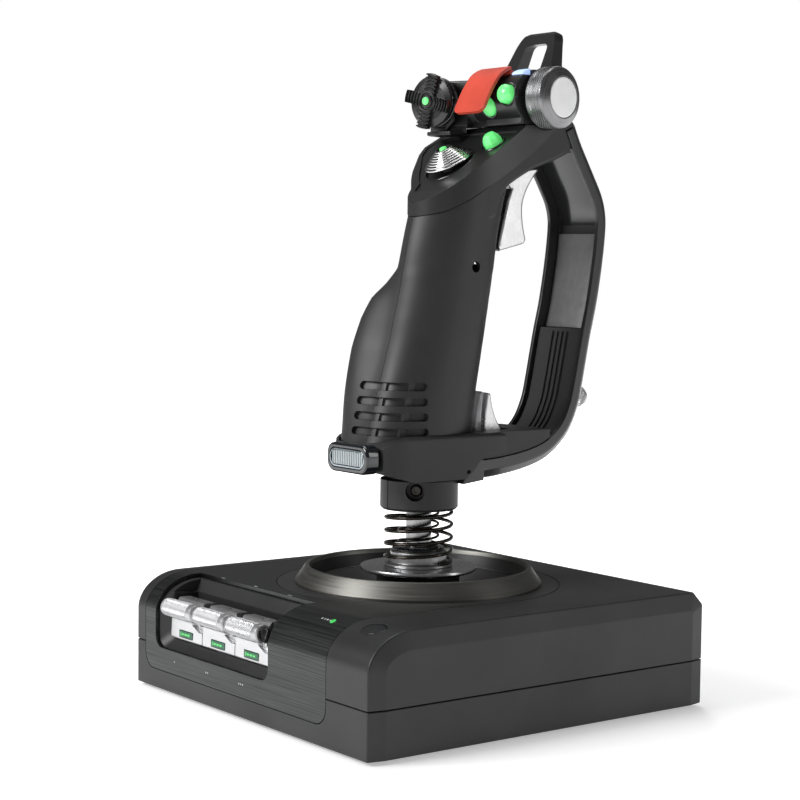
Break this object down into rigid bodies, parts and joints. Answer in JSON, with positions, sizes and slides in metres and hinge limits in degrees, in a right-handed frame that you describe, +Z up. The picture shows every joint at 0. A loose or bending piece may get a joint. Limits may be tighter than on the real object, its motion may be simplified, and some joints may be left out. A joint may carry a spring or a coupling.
{
  "type": "flight joystick",
  "caption": "Flight stick with a sprung gimbal on a square base, twisting handle with knuckle guard, trigger, hats, buttons, side dial, flip-up cover, sliding palm rest and rocker toggles",
  "frame": {"origin": "middle of the overall box in plan, at the underside of the rubber feet; the stick's pivot axis stands 3 mm in front of it", "axes": "+Z up along the upright stick, -Y towards the person using it, where the base toggles are, +X to their right, where the mode dial is"},
  "size_m": [0.2, 0.2117, 0.3318],
  "materials": {
    "casing_black": "fine satin texture",
    "grip_black": "soft-touch satin",
    "gloss_black": "polished",
    "fascia_gunmetal": "brushed, dark anodised",
    "ring_gunmetal": "brushed, dark anodised",
    "dish_black": "smooth satin",
    "polished_steel": "polished",
    "shaft_steel": "turned",
    "spring_wire": "dark oiled wire",
    "gimbal_metal": "machined",
    "silver_aluminium": "satin, knurled where gripped",
    "trigger_silver": "silver satin",
    "insert_grey": "silver-grey satin",
    "guide_rubber": "satin, ribbed",
    "red_plastic": "satin",
    "lit_green": "translucent, backlit",
    "lit_blue": "translucent, backlit",
    "clear_lens": "clear ribbed lens",
    "smoke_clear": "translucent grey",
    "circuit_green": "coated board",
    "foot_rubber": "matte"
  },
  "bodies": {
    "base": {"base_tray": "casing_black", "base_cover": "casing_black", "fascia_plate": "fascia_gunmetal", "toggle_bezel": "gloss_black", "toggle_rod": "shaft_steel", "collar_ring": "ring_gunmetal", "gimbal_dish": "dish_black", "gimbal_bracket": "casing_black", "circuit_board": "circuit_green", "cable_gland": "guide_rubber", "foot_1": "foot_rubber", "foot_2": "foot_rubber", "foot_3": "foot_rubber", "foot_4": "foot_rubber"},
    "gimbal": {"gimbal_ring": "gimbal_metal"},
    "stick": {"pivot_block": "gimbal_metal", "stick_shaft": "shaft_steel", "plate_hub": "casing_black", "spring_plate": "polished_steel", "spring_seat": "polished_steel", "outer_spring": "spring_wire", "inner_spring": "spring_wire"},
    "handle": {"handle_neck": "casing_black", "grip_right": "grip_black", "grip_left": "grip_black", "guard_frame": "gloss_black", "guard_insert": "insert_grey", "top_loop": "gloss_black", "trigger_pin": "shaft_steel", "head_cover": "casing_black", "button_panel": "gloss_black", "head_block": "casing_black", "indicator_lens": "lit_blue", "hat_sleeve": "silver_aluminium"},
    "trigger": {"trigger": "trigger_silver"},
    "palm_rest": {"hand_rest": "casing_black", "rest_guide": "guide_rubber", "nose_bezel": "gloss_black", "nose_lens": "clear_lens", "pinkie_housing": "casing_black"},
    "pinkie": {"pinkie_lever": "trigger_silver"},
    "height_lock": {"height_lock_knob": "smoke_clear"},
    "fire": {"fire_button": "lit_green"},
    "launch": {"launch_button": "lit_green"},
    "thumb": {"thumb_button": "lit_green"},
    "cover": {"safety_cover": "red_plastic"},
    "thumb_hat_side": {"thumb_hat_carrier": "casing_black"},
    "thumb_hat": {"thumb_hat": "gloss_black", "thumb_hat_lens": "lit_green"},
    "view_hat_side": {"view_hat_carrier": "casing_black"},
    "view_hat": {"view_hat": "polished_steel", "view_hat_lens": "lit_green"},
    "mode_dial": {"mode_knob": "silver_aluminium", "knob_disc": "silver_aluminium"},
    "toggle_a": {"toggle_1": "silver_aluminium", "toggle_lens_1": "lit_green"},
    "toggle_b": {"toggle_2": "silver_aluminium", "toggle_lens_2": "lit_green"},
    "toggle_c": {"toggle_3": "silver_aluminium", "toggle_lens_3": "lit_green"}
  },
  "joints": [
    {"name": "stick_roll", "type": "hinge", "parent": "base", "child": "gimbal", "pos_m": [0, -0.003, 0.04], "axis": [0, 1, 0], "range_deg": [-15, 15], "stiffness_Nm_per_rad": 5, "springref_deg": 0.04},
    {"name": "stick_pitch", "type": "hinge", "parent": "gimbal", "child": "stick", "pos_m": [0, -0.003, 0.04], "axis": [1, 0, 0], "range_deg": [-15, 15], "stiffness_Nm_per_rad": 5, "springref_deg": 1.58},
    {"name": "handle_twist", "type": "hinge", "parent": "stick", "child": "handle", "pos_m": [0, -0.003, 0.1], "axis": [0, 0, 1], "range_deg": [-20, 20], "stiffness_Nm_per_rad": 1.2},
    {"name": "trigger_pull", "type": "hinge", "parent": "handle", "child": "trigger", "pos_m": [0, 0.0461, 0.2602], "axis": [-1, 0, 0], "range_deg": [0, 9], "stiffness_Nm_per_rad": 0.6, "springref_deg": -1.15},
    {"name": "palm_rest_height", "type": "slide", "parent": "handle", "child": "palm_rest", "axis": [0, 0.2, 0.9798], "range_m": [0, 0.006]},
    {"name": "pinkie_pull", "type": "hinge", "parent": "palm_rest", "child": "pinkie", "pos_m": [0, 0.0355, 0.133], "axis": [1, 0, 0], "range_deg": [0, 8], "stiffness_Nm_per_rad": 0.3, "springref_deg": -1.15},
    {"name": "height_lock_turn", "type": "hinge", "parent": "palm_rest", "child": "height_lock", "pos_m": [0, 0.0902, 0.1477], "axis": [0, 0.9676, -0.2526], "range_deg": [-90, 90]},
    {"name": "fire_press", "type": "slide", "parent": "handle", "child": "fire", "axis": [0, 0.5878, -0.809], "range_m": [0, 0.0012], "stiffness_N_per_m": 300, "springref_m": -0.0004},
    {"name": "launch_press", "type": "slide", "parent": "handle", "child": "launch", "axis": [0, 0.9397, 0.342], "range_m": [0, 0.0008], "stiffness_N_per_m": 300, "springref_m": -0.0004},
    {"name": "thumb_press", "type": "slide", "parent": "handle", "child": "thumb", "axis": [0, 0.9976, -0.0698], "range_m": [0, 0.0012], "stiffness_N_per_m": 300, "springref_m": -0.0004},
    {"name": "cover_flip", "type": "hinge", "parent": "handle", "child": "cover", "pos_m": [0, 0.0455, 0.3094], "axis": [-1, 0, 0], "range_deg": [0, 75]},
    {"name": "thumb_hat_left_right", "type": "hinge", "parent": "handle", "child": "thumb_hat_side", "pos_m": [-0.03144, 0.02902, 0.296], "axis": [0, 0, 1], "range_deg": [-6, 6], "stiffness_Nm_per_rad": 0.15},
    {"name": "thumb_hat_up_down", "type": "hinge", "parent": "thumb_hat_side", "child": "thumb_hat", "pos_m": [-0.03144, 0.02902, 0.296], "axis": [0.9707, 0.2402, 0], "range_deg": [-6, 6], "stiffness_Nm_per_rad": 0.15},
    {"name": "view_hat_left_right", "type": "hinge", "parent": "handle", "child": "view_hat_side", "pos_m": [-0.0084, 0.02195, 0.25982], "axis": [0, 0.8746, 0.4848], "range_deg": [-3.5, 3.5], "stiffness_Nm_per_rad": 0.15},
    {"name": "view_hat_up_down", "type": "hinge", "parent": "view_hat_side", "child": "view_hat", "pos_m": [-0.0084, 0.02195, 0.25982], "axis": [1, 0, 0], "range_deg": [-3.5, 3.5], "stiffness_Nm_per_rad": 0.15},
    {"name": "mode_dial_turn", "type": "hinge", "parent": "handle", "child": "mode_dial", "pos_m": [0.022, 0.0573, 0.2966], "axis": [0.9903, 0.1392, 0], "range_deg": [-35, 35]},
    {"name": "toggle_a_rock", "type": "hinge", "parent": "base", "child": "toggle_a", "pos_m": [0, -0.0915, 0.036], "axis": [1, 0, 0], "range_deg": [-8, 8], "stiffness_Nm_per_rad": 0.3, "springref_deg": -0.18},
    {"name": "toggle_b_rock", "type": "hinge", "parent": "base", "child": "toggle_b", "pos_m": [0, -0.0915, 0.036], "axis": [1, 0, 0], "range_deg": [-8, 8], "stiffness_Nm_per_rad": 0.3, "springref_deg": -0.18},
    {"name": "toggle_c_rock", "type": "hinge", "parent": "base", "child": "toggle_c", "pos_m": [0, -0.0915, 0.036], "axis": [1, 0, 0], "range_deg": [-8, 8], "stiffness_Nm_per_rad": 0.3, "springref_deg": -0.18}
  ]
}
